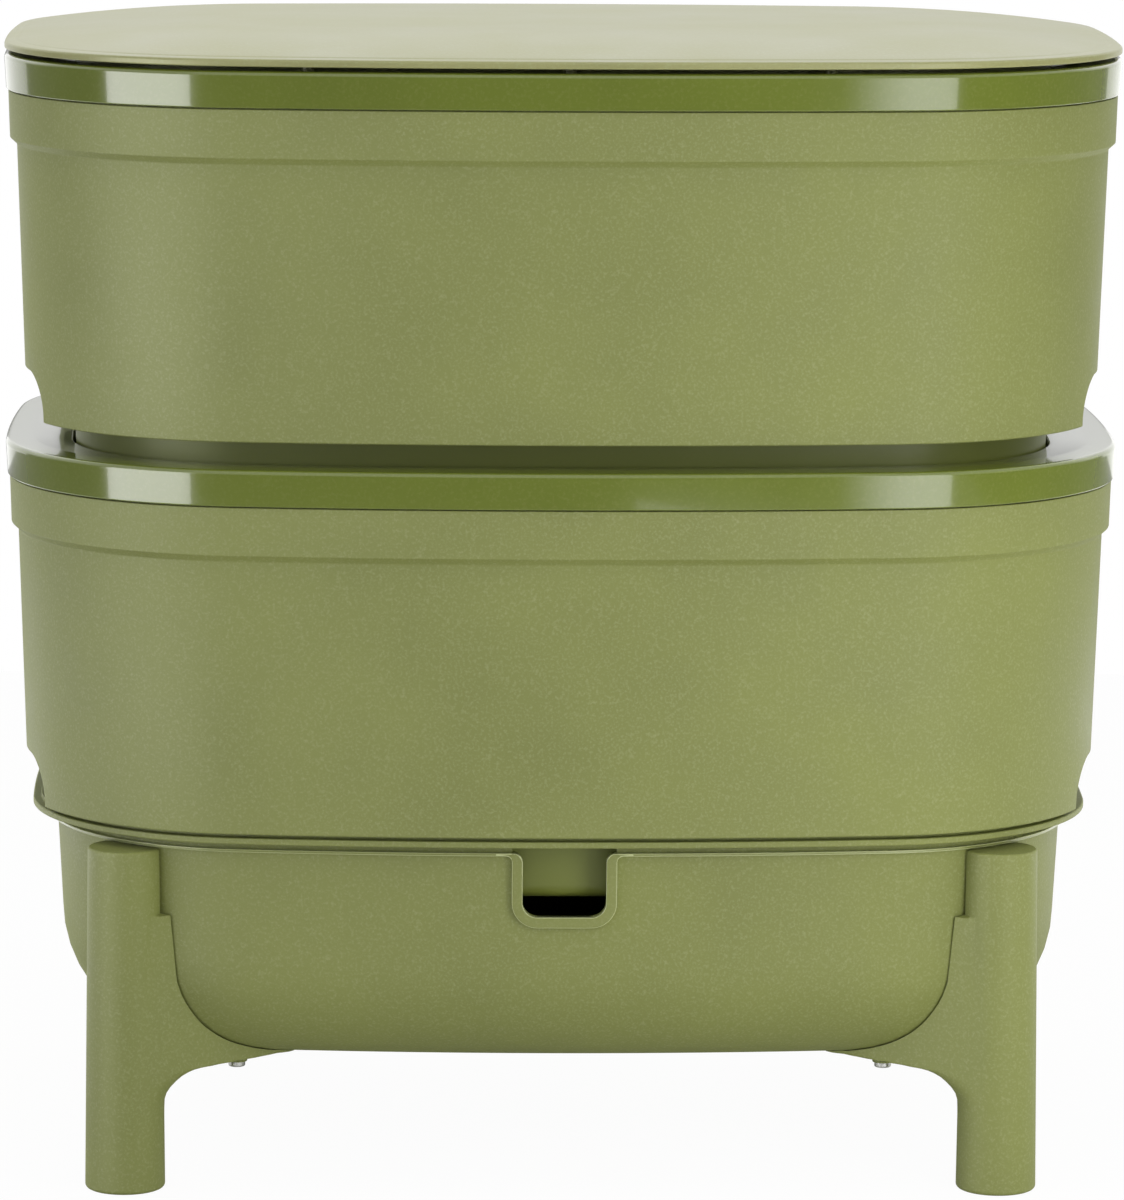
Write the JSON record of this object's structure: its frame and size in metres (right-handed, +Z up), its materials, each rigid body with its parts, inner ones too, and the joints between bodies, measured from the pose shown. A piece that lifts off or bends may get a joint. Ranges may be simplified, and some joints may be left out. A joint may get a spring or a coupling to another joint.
{
  "type": "stacking tray wormery",
  "caption": "Free-standing oval wormery: stacked double-walled trays with rim rings and a crowned lid, over a collection bowl carried on round legs.",
  "frame": {"origin": "centre of the footprint on the floor, under the feet", "axes": "+X along the length to the right, +Y away from the front with the bowl's window, +Z up"},
  "size_m": [0.5326, 0.3748, 0.5421],
  "materials": {
    "body_plastic": "fine-textured moulded polypropylene, olive green",
    "tray_plastic": "satin moulded polypropylene, olive green",
    "rim_plastic": "polished moulded polypropylene, darker olive green",
    "lid_plastic": "satin moulded polypropylene, olive green",
    "screw_steel": "plain stainless steel"
  },
  "bodies": {
    "base": {"collection_bowl": "body_plastic", "leg_front_left": "body_plastic", "leg_front_right": "body_plastic", "leg_rear_left": "body_plastic", "leg_rear_right": "body_plastic", "leg_screws": "screw_steel"},
    "lower_tray": {"lower_rim_ring": "rim_plastic", "lower_inner_tray": "tray_plastic", "lower_outer_shell": "body_plastic", "lower_tray_screws": "screw_steel"},
    "upper_tray": {"upper_rim_ring": "rim_plastic", "upper_inner_tray": "tray_plastic", "upper_outer_shell": "body_plastic", "upper_tray_screws": "screw_steel"},
    "lid": {"lid": "lid_plastic"}
  },
  "joints": [
    {"name": "lower_tray_lift", "type": "slide", "parent": "base", "child": "lower_tray", "axis": [0, 0, 1], "range_m": [0, 0.15]},
    {"name": "upper_tray_lift", "type": "slide", "parent": "lower_tray", "child": "upper_tray", "axis": [0, 0, 1], "range_m": [0, 0.15]},
    {"name": "lid_lift", "type": "slide", "parent": "upper_tray", "child": "lid", "axis": [0, 0, 1], "range_m": [0, 0.12]}
  ]
}
